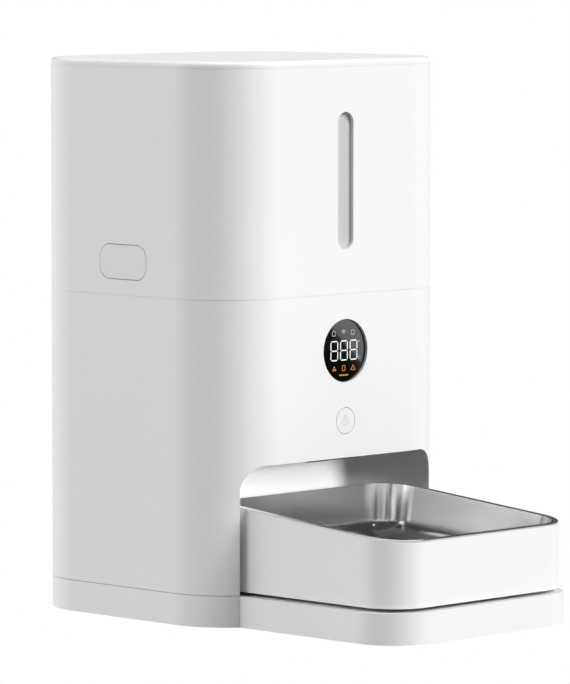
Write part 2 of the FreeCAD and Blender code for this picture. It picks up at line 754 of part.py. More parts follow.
def gear_prism(teeth, phase, low, high):
    """An involute spur gear about Z, with the middle of one tooth at the phase angle."""
    module = dim.gear_module.number
    pressure = math.radians(dim.pressure_angle.number)
    pitch = module * teeth / 2
    base = pitch * math.cos(pressure)
    tip = pitch + 0.9 * module
    root = pitch - 1.15 * module
    start = max(base, root)
    half_pitch_angle = math.pi / (2 * teeth) - dim.gear_backlash.number / (2 * pitch)

    def involute(radius):
        ratio = min(1.0, base / radius)
        angle = math.acos(ratio)
        return math.tan(angle) - angle

    def flank_angle(radius):
        return half_pitch_angle + involute(pitch) - involute(radius)

    def at(radius, angle):
        return V(radius * math.cos(angle), radius * math.sin(angle), low)

    steps = 5
    radii = [start + (tip - start) * i / steps for i in range(steps + 1)]
    edges = []
    for tooth in range(teeth):
        middle = math.radians(phase) + 2 * math.pi * tooth / teeth
        following = middle + 2 * math.pi / teeth
        rising = [at(r, middle - flank_angle(r)) for r in radii]
        falling = [at(r, middle + flank_angle(r)) for r in reversed(radii)]
        foot = flank_angle(start)
        for flank in (rising, falling):
            curve = Part.BSplineCurve()
            curve.interpolate(flank)
            edges.append((flank[0], curve.toShape(), flank[-1]))
        edges.append((rising[-1], Part.Arc(rising[-1], at(tip, middle), falling[0]).toShape(),
                      falling[0]))
        low_foot = at(root, middle + foot)
        next_foot = at(root, following - foot)
        if start > root:
            edges.append((falling[-1], Part.LineSegment(falling[-1], low_foot).toShape(), None))
            next_start = at(start, following - foot)
            edges.append((next_foot, Part.LineSegment(next_foot, next_start).toShape(), None))
        valley = at(root, (middle + following) / 2)
        edges.append((low_foot, Part.Arc(low_foot, valley, next_foot).toShape(), next_foot))
    wire = Part.Wire(Part.__sortEdges__([edge for first, edge, last in edges]))
    return Part.Face(wire).extrude(V(0, 0, high - low))


def rod(radius, low, high):
    return Part.makeCylinder(radius, high - low, V(0, 0, low))


def gear_node(label, shape, centre):
    shape_node(label, shape.removeSplitter(), FreeCAD.Placement(centre, FreeCAD.Rotation()))


def make_gears():
    big = int(dim.wheel_teeth.number)
    small = int(dim.pinion_teeth.number)
    half_tooth = 180.0 / small
    width = dim.gear_width.number
    low, mid, top = dim.layer_low.number, dim.layer_mid.number, dim.layer_top.number
    bore = dim.pin_radius.number + dim.run_gap.number
    first, second, third = STAGE_ANGLES
    collar = 3.5
    plate_top = dim.gearbox_low.number + dim.gearbox_plate.number
    cover_low = dim.gearbox_top.number - 2

    wheel = gear_prism(big, first, top, top + width)
    wheel = wheel.fuse(rod(2.5, plate_top - 1.4, top + 1))
    gear_node("output_gear", wheel.fuse(rod(dim.shaft_radius.number, top + 1, 158)), OUTPUT)

    pair = gear_prism(big, second, mid, mid + width)
    pair = pair.fuse(gear_prism(small, first + 180 + half_tooth, mid + width - 0.5, top + width))
    pair = pair.fuse(rod(collar, plate_top + 0.2, mid + 0.5))
    pair = pair.fuse(rod(collar, top + width - 0.5, cover_low - 0.2))
    gear_node("second_gear", pair.cut(rod(bore, plate_top, cover_low)), SECOND)

    pair = gear_prism(big, third, low, low + width)
    pair = pair.fuse(gear_prism(small, second + 180 + half_tooth, low + width - 0.5, mid + width))
    pair = pair.fuse(rod(collar, plate_top + 0.2, low + 0.5))
    pair = pair.fuse(rod(collar, mid + width - 0.5, cover_low - 0.2))
    gear_node("first_gear", pair.cut(rod(bore, plate_top, cover_low)), FIRST)

    shaft = dim.motor_shaft.number
    pinion = gear_prism(small, third + 180 + half_tooth, low - 0.4, low + width + 0.4)
    gear_node("motor_pinion", pinion.cut(rod(shaft, low - 1, low + width + 1)), MOTOR)
    gear_node("motor_shaft", rod(shaft, 106, low + width + 1), MOTOR)


def make_gear_pins():
    body = new_body("gear_pins")
    low = dim.gearbox_low + 1
    places = [(centre.x, centre.y) for centre in (SECOND, FIRST)]
    pad(body, "Z", low, dim.gearbox_top - 2, circles(places, dim.pin_radius))
    keep(body)


def gearbox_outline(inset):
    return rounded(dim.gearbox_left + inset, dim.gearbox_right - inset,
                   dim.gearbox_front + inset, dim.gearbox_rear - inset, 4 - inset)


def make_gearbox_housing():
    body = new_body("gearbox_housing")
    low = dim.gearbox_low
    floor_top = low + dim.gearbox_plate
    rim = dim.gearbox_top - 2
    pad(body, "Z", low, rim, gearbox_outline(0))
    pocket(body, "Z", floor_top, rim, gearbox_outline(dim.gearbox_wall))
    pad(body, "Z", floor_top - 1, rim, circles(GEARBOX_POSTS, 3.4))
    pocket(body, "Z", rim - 12, rim, circles(GEARBOX_POSTS, 1.2))
    pins = [(centre.x, centre.y) for centre in (SECOND, FIRST)]
    pocket(body, "Z", low + 1, floor_top, circles(pins, dim.pin_radius))
    pocket(body, "Z", low + 1, floor_top, circle(0, dim.centre_y, 2.5 + dim.run_gap))
    pocket(body, "Z", low, floor_top, circle(MOTOR.x, MOTOR.y, 5.1))
    keep(body)


def make_gearbox_cover():
    body = new_body("gearbox_cover")
    rim = dim.gearbox_top - 2
    pad(body, "Z", rim, dim.gearbox_top, gearbox_outline(0))
    pad(body, "Z", dim.gearbox_top - 1, dim.well_floor_low, circles(GEARBOX_POSTS, 4))
    pocket(body, "Z", rim, dim.gearbox_top, circle(0, dim.centre_y, dim.shaft_radius + dim.run_gap))
    pocket(body, "Z", rim, dim.well_floor_low, circles(GEARBOX_POSTS, 1.4))
    pocket(body, "Z", dim.gearbox_top, dim.well_floor_low, circles(GEARBOX_POSTS, 2.6))
    keep(body)


def make_gearbox_screws():
    top = dim.gearbox_top
    screws("gearbox_screws", "Z", GEARBOX_POSTS, top, top + 1.5, top - 12, top, 2.4, 1.2)


def make_drive_motor():
    body = new_body("drive_motor")
    top = dim.gearbox_low
    x, y = MOTOR.x, MOTOR.y
    pad(body, "Z", dim.motor_low, top, circle(x, y, dim.motor_radius))
    pad(body, "Z", top - 1, top + 1.5, circle(x, y, 5))
    pad(body, "Z", dim.motor_low - 3, dim.motor_low + 1, circle(x, y, 4))
    pocket(body, "Z", 105, top + 2, circle(x, y, dim.motor_shaft + dim.run_gap))
    for left in (x - 9, x + 7):
        pad(body, "Z", dim.motor_low - 5, dim.motor_low + 1, block(left, left + 2, y - 0.4, y + 0.4))
    keep(body)


def hexagon(y, radius):
    corners = []
    for i in range(6):
        angle = math.radians(60 * i)
        corners.append((radius * math.cos(angle), y + radius * math.sin(angle)))
    return polygon(*corners)


def make_output_coupler():
    body = new_body("output_coupler")
    y = dim.centre_y
    pad(body, "Z", dim.gearbox_top + 0.5, 151, circle(0, y, 7))
    pad(body, "Z", 150.5, 163.5, hexagon(y, dim.hex_dog))
    pocket(body, "Z", dim.gearbox_top, 158, circle(0, y, dim.shaft_radius))
    keep(body)


# ---------------------------------------------------------------- hopper
def make_hopper_shell():
    body = new_body("hopper_shell")
    wall = dim.shell_wall
    pad(body, "Z", HOPPER_LOW, HOPPER_TOP, tower(0))
    pocket(body, "Z", HOPPER_LOW - 1, HOPPER_TOP + 1, tower(wall))
    half = dim.window_half
    pocket(body, "Y", dim.tower_front - 1, dim.tower_front + wall + 1,
           rounded(-half, half, dim.window_low, dim.window_top, half - 0.05))
    gap = dim.release_gap
    opening = rounded(dim.release_y - dim.release_half_y - gap,
                      dim.release_y + dim.release_half_y + gap,
                      dim.release_z - dim.release_half_z - gap,
                      dim.release_z + dim.release_half_z + gap, dim.release_corner + gap)
    pocket(body, "X", -dim.tower_half - 1, dim.tower_half + 1, opening)
    for start, end in ((-dim.lug_outer, -dim.lug_inner), (dim.lug_inner, dim.lug_outer)):
        pad(body, "X", start, end, block(dim.hinge_y - 2, dim.hinge_y + 2, 332.3, dim.hinge_z))
        pad(body, "X", start, end, circle(dim.hinge_y, dim.hinge_z, 2))
        pocket(body, "X", start - 1, end + 1,
               circle(dim.hinge_y, dim.hinge_z, dim.hinge_pin + dim.run_gap))
    keep(body)


def make_food_bin():
    body = new_body("food_bin")
    wall = dim.bin_wall
    y = dim.centre_y
    outer = dim.chamber_radius + wall
    floor_top = dim.bin_floor + wall
    pad(body, "Z", dim.bin_floor, dim.bin_top, tower(dim.bin_inset))
    turn(body, y, (0, dim.chamber_low), (outer, dim.chamber_low), (outer, dim.chamber_top),
         (dim.cone_radius + wall, dim.bin_floor + 0.5), (0, dim.bin_floor + 0.5))
    pad(body, "Z", dim.bin_top, dim.bin_top + 2, tower(INNER))
    pocket(body, "Z", floor_top, dim.bin_top + 3, tower(dim.bin_inset + wall))
    turn(body, y, (0, dim.chamber_low + 2), (dim.chamber_radius, dim.chamber_low + 2),
         (dim.chamber_radius, dim.chamber_top), (dim.cone_radius, floor_top + 0.5),
         (0, floor_top + 0.5), cut=True)
    pocket(body, "Z", dim.chamber_low - 1, dim.chamber_low + 2, circle(0, y, 12))
    pocket(body, "Z", dim.chamber_low - 1, dim.chamber_low + 2,
           rounded(-dim.outlet_half, dim.outlet_half, dim.outlet_front + 1, dim.outlet_rear, 2))
    keep(body)


def make_window_lens():
    body = new_body("window_lens")
    front = dim.tower_front + INNER
    half = dim.window_half + 3
    pad(body, "Y", front, front + 1.7,
        rounded(-half, half, dim.window_low - 3, dim.window_top + 3, 4))
    keep(body)


def make_hopper_floor():
    body = new_body("hopper_floor")
    low = HOPPER_LOW + 0.15
    top = low + 2.5
    y = dim.centre_y
    pad(body, "Z", low, top, tower(INNER))
    pocket(body, "Z", low - 1, top + 1, circle(0, y, dim.chamber_radius + dim.bin_wall + 4))
    for side in (-1, 1):
        left, right = sorted((side * 86.5, side * 96.5))
        pocket(body, "Z", low - 1, top + 1, rounded(left, right, 53, 67, 1))
        left, right = sorted((side * 81.5, side * 84))
        pad(body, "X", left, right, block(54.5, 65.5, top - 0.5, 218))
    keep(body)


def make_release_button(label, side):
    """A side button with the sprung arm and hook that holds the hopper to its seat."""
    body = new_body(label)
    y, z = dim.release_y, dim.release_z
    half_y, half_z = dim.release_half_y, dim.release_half_z

    def slab(near, far, grow):
        low, high = sorted((side * near, side * far))
        pad(body, "X", low, high,
            rounded(y - half_y - grow, y + half_y + grow, z - half_z - grow, z + half_z + grow,
                    dim.release_corner + grow))

    slab(98.3, dim.tower_half.number, 0)
    slab(96.9, 98.7, 1.8)
    low, high = sorted((side * 91.5, side * 97.2))
    pad(body, "X", low, high, block(55, 65, 207.5, 213))
    low, high = sorted((side * 91.5, side * 93.9))
    pad(body, "X", low, high, block(55, 65, 186, 213))
    low, high = sorted((side * 93.5, side * dim.hook_reach.number))
    pad(body, "X", low, high, block(55, 65, 186, 190))
    keep(body)


def make_release_spring(label, side):
    start = 84.3 if side > 0 else -91.2
    place = FreeCAD.Placement(V(start + 0.2, dim.centre_y.number, 210),
                              FreeCAD.Rotation(V(0, 1, 0), 90))
    shape_node(label, coil_shape(0.25, 2.2, 6.5, 5), place)


# ---------------------------------------------------------------- rotor
def at_rotor(body):
    body.Placement = FreeCAD.Placement(V(0, dim.centre_y.number, 0), FreeCAD.Rotation())
    body.setExpression("Placement.Base.y", dim.centre_y.text)
    doc.recompute()
    return keep(body)


def make_rotor():
    hub = new_body("rotor_hub")
    turn(hub, 0, (0, 151.7), (11.3, 151.7), (11.3, 155), (14, 155), (14, 187), (9, 192),
         (6, 201), (0, 201))
    pocket(hub, "Z", 151, 164.5, hexagon(0, dim.hex_socket))
    pocket(hub, "X", -16, 16, circle(0, 196, 2.5))
    at_rotor(hub)

    vanes = new_body("rotor_vanes")
    low, top = dim.vane_low, dim.vane_top
    pad(vanes, "Z", low, top, circle(0, 0, 16))
    half = dim.vane_thick / 2
    blade = pad(vanes, "Z", low, top, block(15, dim.rotor_radius, -half, half))
    ring_copies(vanes, blade, 6)
    pocket(vanes, "Z", low - 1, top + 1, circle(0, 0, 14))
    at_rotor(vanes)

    stirrer = new_body("stirrer")
    pad(stirrer, "X", -44, 44, circle(0, 196, 2.5))
    at_rotor(stirrer)


# ---------------------------------------------------------------- lid
def make_lid_shell():
    body = new_body("lid_shell")
    top = dim.full_height
    barrel = dim.hinge_barrel
    y, z = dim.hinge_y, dim.hinge_z
    pad(body, "Z", LID_LOW, top, tower(0))
    round_edges(body, dim.lid_edge_round, edge_at_height(top))
    pocket(body, "X", -72, 72, block(y, y + 4, LID_LOW - 1, z))
    pad(body, "X", -57.4, 57.4, circle(y, z, barrel))
    for start, end in ((-dim.lug_outer - 0.4, 0.4 - dim.lug_inner),
                       (dim.lug_inner - 0.4, dim.lug_outer + 0.4)):
        pocket(body, "X", start, end, block(y - 2.5, y + 4, LID_LOW - 1, top + 1))
    pocket(body, "X", -46, 46, circle(y, z, dim.hinge_pin))
    pocket(body, "Z", top - 0.6, top + 1, circle(0, dim.tower_front + 21, 1.6))
    keep(body)


def make_lid_inside():
    pin = new_body("lid_hinge_pin")
    pad(pin, "X", -46, 46, circle(dim.hinge_y, dim.hinge_z, dim.hinge_pin))
    keep(pin)
    liner = new_body("lid_liner")
    pad(liner, "Z", 329, LID_LOW, tower(7.6))
    pocket(liner, "Z", 331, LID_LOW, tower(9.6))
    keep(liner)
    seal = new_body("lid_seal")
    pad(seal, "Z", dim.bin_top + 2.05, LID_LOW, tower(4.6))
    pocket(seal, "Z", dim.bin_top + 2, LID_LOW, tower(7))
    keep(seal)


def make_desiccant():
    radius = dim.desiccant_radius
    case = new_body("desiccant_box")
    pad(case, "Z", 309, 329, circle(0, 0, radius))
    pocket(case, "Z", 308, 327, circle(0, 0, radius - 1.5))
    at_rotor(case)
    bag = new_body("desiccant_bag")
    pad(bag, "Z", 312.5, 326.5, circle(0, 0, radius - 3.5))
    round_edges(bag, 5, lambda edge: len(edge.Vertexes) == 1)
    at_rotor(bag)
    cover = new_body("desiccant_cover")
    pad(cover, "Z", 309.2, 311.2, circle(0, 0, radius - 1.7))
    vent = pocket(cover, "Z", 309, 312, rounded(8, 23, -1.5, 1.5, 1.4))
    ring_copies(cover, vent, 8)
    pad(cover, "Z", 306.2, 309.4, rounded(-6, 6, -1.2, 1.2, 1.1))
    at_rotor(cover)


# ---------------------------------------------------------------- build, check, write
def build():
    make_base_shell()
    make_bottom_cover()
    make_battery_door()
    make_battery_box()
    make_battery_cells()
    make_battery_contacts()
    make_rubber_feet()
    make_base_screws()
    make_housing_screws()
    make_load_cell()
    make_weigh_platform()
    make_bowl_holder()
    make_steel_bowl()
    make_lower_housing()
    make_alcove_liner()
    make_hopper_seat()
    make_seat_screws()
    make_chute()
    make_food_sensors()
    make_display()
    make_display_board()
    make_feed_button()
    make_feed_button_spring()
    make_tact_switch()
    make_main_board()
    make_buzzer()
    make_board_screws()
    make_power_inlet()
    make_gears()
    make_gear_pins()
    make_gearbox_housing()
    make_gearbox_cover()
    make_gearbox_screws()
    make_drive_motor()
    make_output_coupler()
    make_hopper_shell()
    make_food_bin()
    make_window_lens()
    make_hopper_floor()
    make_release_button("release_button_left", -1)
    make_release_button("release_button_right", 1)
    make_release_spring("release_spring_left", -1)
    make_release_spring("release_spring_right", 1)
    make_rotor()
    make_lid_shell()
    make_lid_inside()
    make_desiccant()


def check_and_write():
    doc.recompute()
    for item in doc.Objects:
        if {"Invalid", "Error"} & set(item.State):
            raise RuntimeError("%s failed: %s" % (item.Label, item.State))
    os.makedirs("parts", exist_ok=True)
    for node in nodes:
        shape = node.Shape
        if shape.isNull() or not shape.isValid() or not shape.Solids:
            raise RuntimeError("%s has no valid solid" % node.Label)
        shape.exportStep("parts/%s.step" % node.Label)
    print("%d sub-parts written" % len(nodes))


build()
check_and_write()
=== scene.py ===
import json
import math

import bmesh
import bpy
from mathutils import Matrix, Vector


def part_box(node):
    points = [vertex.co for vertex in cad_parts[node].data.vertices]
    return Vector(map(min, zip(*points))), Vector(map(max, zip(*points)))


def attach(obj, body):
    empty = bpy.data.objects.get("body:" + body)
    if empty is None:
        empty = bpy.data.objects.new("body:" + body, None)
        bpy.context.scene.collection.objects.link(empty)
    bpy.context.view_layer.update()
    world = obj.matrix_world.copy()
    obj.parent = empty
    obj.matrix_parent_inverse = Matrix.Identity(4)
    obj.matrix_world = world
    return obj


# Looks for the automatic pet feeder: satin white shells, a satin steel bowl, a black glass
# display with lit digits, and plain studio light. Metres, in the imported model's frame.

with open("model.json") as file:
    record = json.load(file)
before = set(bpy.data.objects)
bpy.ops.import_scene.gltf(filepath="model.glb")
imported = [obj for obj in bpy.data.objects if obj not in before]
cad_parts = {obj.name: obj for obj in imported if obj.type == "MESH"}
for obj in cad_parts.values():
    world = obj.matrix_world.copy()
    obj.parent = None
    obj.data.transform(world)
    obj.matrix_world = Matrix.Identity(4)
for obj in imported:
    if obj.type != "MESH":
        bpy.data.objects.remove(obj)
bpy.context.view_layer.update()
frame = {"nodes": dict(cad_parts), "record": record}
NODES = frame["nodes"]
MM = 0.001


def centre_of(node):
    low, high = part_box(node)
    return (Vector(low) + Vector(high)) / 2


# ---------------------------------------------------------------- materials
NOISE_LOW, NOISE_HIGH = 0.3, 0.7


class Nodes:
    """A short way to write a material's node tree."""

    def __init__(self, name):
        self.material = bpy.data.materials.new(name)
        self.material.use_nodes = True
        self.tree = self.material.node_tree
        self.shader = self.tree.nodes["Principled BSDF"]

    def add(self, kind, **settings):
        node = self.tree.nodes.new(kind)
        for key, value in settings.items():
            setattr(node, key, value)
        return node

    def link(self, source, target):
        self.tree.links.new(source, target)

    def noise(self, scale, detail=4, stretch=(1, 1, 1)):
        """Noise over the object's own coordinates in metres, stretched along its axes."""
        coordinates = self.add("ShaderNodeTexCoord")
        mapping = self.add("ShaderNodeMapping")
        mapping.inputs["Scale"].default_value = stretch
        self.link(coordinates.outputs["Object"], mapping.inputs["Vector"])
        texture = self.add("ShaderNodeTexNoise")
        texture.inputs["Scale"].default_value = scale
        texture.inputs["Detail"].default_value = detail
        self.link(mapping.outputs["Vector"], texture.inputs["Vector"])
        return texture.outputs["Fac"]

    def between(self, source, low, high):
        """A value that runs from low to high as a noise runs over its usual range."""
        spread = self.add("ShaderNodeMapRange")
        spread.inputs["From Min"].default_value = NOISE_LOW
        spread.inputs["From Max"].default_value = NOISE_HIGH
        spread.inputs["To Min"].default_value = low
        spread.inputs["To Max"].default_value = high
        self.link(source, spread.inputs["Value"])
        return spread.outputs["Result"]

    def tint(self, source, dark, light):
        """Colours between dark and light, by the source."""
        ramp = self.add("ShaderNodeValToRGB")
        for element, place, colour in zip(ramp.color_ramp.elements, (NOISE_LOW, NOISE_HIGH),
                                          (dark, light)):
            element.position = place
            element.color = (*colour, 1)
        self.link(source, ramp.inputs["Fac"])
        self.link(ramp.outputs["Color"], self.shader.inputs["Base Color"])
        return ramp.outputs["Color"]

    def bump(self, source, height, strength):
        node = self.add("ShaderNodeBump")
        node.inputs["Distance"].default_value = height
        node.inputs["Strength"].default_value = strength
        self.link(source, node.inputs["Height"])
        self.link(node.outputs["Normal"], self.shader.inputs["Normal"])

    def set(self, **values):
        for key, value in values.items():
            self.shader.inputs[key.replace("_", " ")].default_value = value


def plastic(name, colour, rough, grain=1400, height=0.02 * MM, spread=0.02, coat=0.0):
    """Moulded plastic: faint colour drift, a satin roughness that varies, and a fine grain."""
    nodes = Nodes(name)
    nodes.set(IOR=1.49, Coat_Weight=coat, Coat_Roughness=0.12)
    dark = [channel * (1 - spread) for channel in colour]
    nodes.tint(nodes.noise(9), dark, colour)
    nodes.link(nodes.between(nodes.noise(45), rough * 0.9, rough * 1.12),
               nodes.shader.inputs["Roughness"])
    nodes.bump(nodes.noise(grain, detail=2), height, 0.35)
    return nodes.material


def metal(name, colour, rough, stretch):
    """Metal with a directional finish: the stretched noise is the brush lines."""
    nodes = Nodes(name)
    nodes.set(Metallic=1.0, Anisotropic=0.5)
    lines = nodes.noise(60, detail=6, stretch=stretch)
    dark = [channel * 0.88 for channel in colour]
    nodes.tint(lines, dark, colour)
    nodes.link(nodes.between(lines, rough * 0.8, rough * 1.25), nodes.shader.inputs["Roughness"])
    nodes.bump(lines, 0.01 * MM, 0.3)
    return nodes.material


def steel():
    """Satin stainless sheet with slow drifts in shade and polish."""
    nodes = Nodes("bowl_steel")
    nodes.set(Metallic=1.0, Anisotropic=0.2)
    nodes.tint(nodes.noise(14), (0.80, 0.80, 0.795), (0.83, 0.83, 0.825))
    nodes.link(nodes.between(nodes.noise(30), 0.15, 0.18), nodes.shader.inputs["Roughness"])
    nodes.bump(nodes.noise(2200, detail=1, stretch=(1, 1, 0.15)), 0.002 * MM, 0.15)
    return nodes.material


def glowing(name, colour, power):
    """A lit display mark: an even glow with a faint grain from the diffuser."""
    nodes = Nodes(name)
    nodes.set(Roughness=0.4, Emission_Strength=power)
    dark = [channel * 0.85 for channel in colour]
    glow = nodes.tint(nodes.noise(2500, detail=1), dark, colour)
    nodes.link(glow, nodes.shader.inputs["Emission Color"])
    return nodes.material


def black_glass():
    """The near-black display window under a glossy coat."""
    nodes = Nodes("display_glass")
    nodes.set(IOR=1.5, Coat_Weight=0.6, Coat_Roughness=0.02)
    nodes.tint(nodes.noise(30), (0.001, 0.001, 0.001), (0.002, 0.002, 0.002))
    nodes.link(nodes.between(nodes.noise(120), 0.05, 0.09), nodes.shader.inputs["Roughness"])
    return nodes.material


def window_plastic():
    """The satin grey strip over the milky food bin."""
    nodes = Nodes("window_plastic")
    nodes.set(IOR=1.5, Coat_Weight=0.3, Coat_Roughness=0.1)
    nodes.tint(nodes.noise(12), (0.52, 0.52, 0.52), (0.54, 0.54, 0.54))
    nodes.link(nodes.between(nodes.noise(20), 0.34, 0.37), nodes.shader.inputs["Roughness"])
    return nodes.material


WHITE = (0.83, 0.83, 0.825)
MATERIALS = {
    "white_shell": plastic("white_shell", WHITE, 0.36, coat=0.15),
    "white_trim": plastic("white_trim", (0.81, 0.81, 0.81), 0.38),
    "clear_window": window_plastic(),
    "display_glass": black_glass(),
    "bowl_steel": steel(),
    "foot_rubber": plastic("foot_rubber", (0.045, 0.045, 0.048), 0.8, height=0.08 * MM),
    "grey_inner": plastic("grey_inner", (0.36, 0.37, 0.38), 0.5, height=0.05 * MM),
    "bin_plastic": plastic("bin_plastic", (0.66, 0.67, 0.68), 0.34),
    "board": plastic("board", (0.012, 0.085, 0.035), 0.35, spread=0.3),
    "gear_nylon": plastic("gear_nylon", (0.72, 0.69, 0.58), 0.45),
    "zinc_steel": metal("zinc_steel", (0.55, 0.56, 0.58), 0.35, (1, 1, 8)),
    "motor_can": metal("motor_can", (0.6, 0.6, 0.61), 0.22, (1, 1, 20)),
    "spring_steel": metal("spring_steel", (0.5, 0.51, 0.53), 0.25, (4, 4, 1)),
    "silicone": plastic("silicone", (0.58, 0.60, 0.60), 0.6, height=0.04 * MM),
    "battery_wrap": plastic("battery_wrap", (0.02, 0.022, 0.028), 0.3, spread=0.2, coat=0.5),
    "alloy": metal("alloy", (0.72, 0.73, 0.75), 0.3, (1, 12, 1)),
    "black_plastic": plastic("black_plastic", (0.012, 0.012, 0.013), 0.45, spread=0.2),
    "bag_cloth": plastic("bag_cloth", (0.78, 0.78, 0.75), 0.85, grain=900, height=0.2 * MM),
}
DIGIT_LIGHT = glowing("digit_light", (0.72, 0.73, 0.74), 0.55)
AMBER_LIGHT = glowing("amber_light", (0.50, 0.20, 0.05), 0.22)
MARK_GREY = plastic("mark_grey", (0.62, 0.62, 0.62), 0.5)
ICON_LIGHT = glowing("icon_light", (0.42, 0.43, 0.44), 0.16)


def dress_frame():
    """Gives every CAD node the material of its slot in the record."""
    for entry in frame["record"]["subparts"]:
        node = NODES[entry["node"]]
        for slot in node.material_slots:
            slot.material = MATERIALS[entry["material_slot"]]


# ---------------------------------------------------------------- flat marks
DIGIT_WIDE, DIGIT_HIGH, DIGIT_PITCH = 5.9, 11.6, 8.4
ICON_STROKE, THIN_STROKE = 0.45, 0.3
MARK_LIFT = 0.06 * MM


def add_piece(name, work, material, body):
    """Turns a working mesh into a piece that rides a body."""
    bmesh.ops.recalc_face_normals(work, faces=work.faces)
    mesh = bpy.data.meshes.new(name)
    work.to_mesh(mesh)
    work.free()
    piece = bpy.data.objects.new(name, mesh)
    bpy.context.collection.objects.link(piece)
    piece.data.materials.append(material)
    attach(piece, body)


def front_of(node):
    """The middle of a node's front face."""
    middle = centre_of(node)
    return Vector((middle.x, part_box(node)[0][1], middle.z))


def plates(name, outlines, origin, material, body):
    """Thin raised marks: each outline is a list of (x, z) points in mm about the origin."""
    work = bmesh.new()
    for outline in outlines:
        front = [work.verts.new(origin + Vector((x * MM, -MARK_LIFT, z * MM)))
                 for x, z in outline]
        back = [work.verts.new(origin + Vector((x * MM, 0, z * MM))) for x, z in outline]
        count = len(outline)
        work.faces.new(front)
        work.faces.new(list(reversed(back)))
        for i in range(count):
            j = (i + 1) % count
            work.faces.new((front[j], front[i], back[i], back[j]))
    add_piece(name, work, material, body)


def bar(x1, z1, x2, z2, width):
    """A straight stroke with pointed ends, as an outline."""
    along = Vector((x2 - x1, z2 - z1)).normalized() * width / 2
    side = Vector((-along.y, along.x))
    start, end = Vector((x1, z1)), Vector((x2, z2))
    points = (start, start + along + side, end - along + side, end, end - along - side,
              start + along - side)
    return [tuple(point) for point in points]


def stroke(x1, z1, x2, z2, width):
    """A straight stroke with square ends."""
    side = Vector((z1 - z2, x2 - x1)).normalized() * width / 2
    start, end = Vector((x1, z1)), Vector((x2, z2))
    points = (start + side, end + side, end - side, start - side)
    return [tuple(point) for point in points]


def path(points, width, closed=False):
    """Strokes along a line of points."""
    ends = points[1:] + (points[:1] if closed else [])
    return [stroke(*start, *end, width) for start, end in zip(points, ends)]


def icon(*points):
    """A closed outline drawn in the icons' stroke."""
    return path(list(points), ICON_STROKE, closed=True)


def arc_points(x, z, radius, start, end, count=10):
    """Points along an arc, from one angle to another in degrees."""
    angles = [math.radians(start + (end - start) * i / count) for i in range(count + 1)]
    return [(x + radius * math.cos(a), z + radius * math.sin(a)) for a in angles]


def digit_bars(x):
    """The seven lit bars of one digit whose left edge is at x."""
    left, right = x, x + DIGIT_WIDE
    half = DIGIT_HIGH / 2
    gap, width = 0.35, 0.7
    bars = [bar(left + gap, level, right - gap, level, width) for level in (-half, 0, half)]
    for side in (left, right):
        for low, high in ((-half, 0), (0, half)):
            bars.append(bar(side, low + gap, side, high - gap, width))
    return bars


def make_display_marks():
    """Three digits with unit marks beside them, a row of icons above and one below."""
    origin = front_of("display_lens")
    first = -1.5 * DIGIT_PITCH + 1.5
    digits = [piece for i in range(3) for piece in digit_bars(first + i * DIGIT_PITCH)]
    plates("display_digits", digits, origin, DIGIT_LIGHT, "base")

    right = first + 3 * DIGIT_PITCH - 0.6
    units = path(arc_points(right, 5.0, 0.55, 0, 360), THIN_STROKE)
    units += path(arc_points(right + 0.2, -4.9, 0.8, 40, 320), 0.35)
    house = icon((-9.9, 9.2), (-9.9, 11.2), (-8.5, 12.6), (-7.1, 11.2), (-7.1, 9.2))
    fan = [outline for radius in (0.9, 1.8, 2.7)
           for outline in path(arc_points(0, 9.7, radius, 45, 135, 6), ICON_STROKE)]
    tag = icon((6.6, 9.4), (6.6, 12.0), (9.2, 12.0), (9.2, 9.4))
    plates("display_icons", units + house + fan + tag, origin, ICON_LIGHT, "base")

    grain_places = ((-9.0, -11.6), (-7.3, -11.6), (-8.15, -10.1))
    grains = [arc_points(x, z, 0.75, 0, 330, 8) for x, z in grain_places]
    drum = icon((-1.2, -12.3), (-1.2, -9.2), (1.2, -9.2), (1.2, -12.3))
    warning = icon((6.3, -12.2), (8.2, -9.1), (10.1, -12.2))
    level = [stroke(-3.9, -15.0, 3.9, -15.0, 0.85)]
    plates("display_amber_marks", grains + drum + warning + level, origin, AMBER_LIGHT, "base")


def make_button_mark():
    """A faint raised bowl-and-kibble mark on the feed button."""
    cup = path([(-2.9, 0.2), (-2.2, -2.2), (2.2, -2.2), (2.9, 0.2)], 0.35, closed=True)
    grains = [outline for x, z in ((-1.2, 1.7), (1.2, 1.7), (0, 3.0))
              for outline in path(arc_points(x, z, 0.6, 0, 360, 8), THIN_STROKE)]
    plates("button_mark", cup + grains, front_of("feed_button"), MARK_GREY, "feed_button")


# ---------------------------------------------------------------- seam lips
TOWER_CORNER, SEAM = 44 * MM, 0.5 * MM
LIP_BACK = 1.2 * MM
LIP_CLEAR = 0.03 * MM
MIDDLE_LIP_INSET, LID_LIP_INSET = 0.16 * MM, 0.10 * MM


def tower_loop(inset, height):
    """The tower's rounded outline as points, inset from its outer face."""
    low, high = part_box("lower_housing")
    radius = TOWER_CORNER - inset
    corners = ((high[0], high[1], 0), (low[0], high[1], 90), (low[0], low[1], 180),
               (high[0], low[1], 270))
    middle = centre_of("lower_housing")
    points = []
    for x, y, start in corners:
        across = x - math.copysign(TOWER_CORNER, x - middle.x)
        along = y - math.copysign(TOWER_CORNER, y - middle.y)
        points += [(px, py, height) for px, py in arc_points(across, along, radius, start,
                                                             start + 90, 24)]
    return points


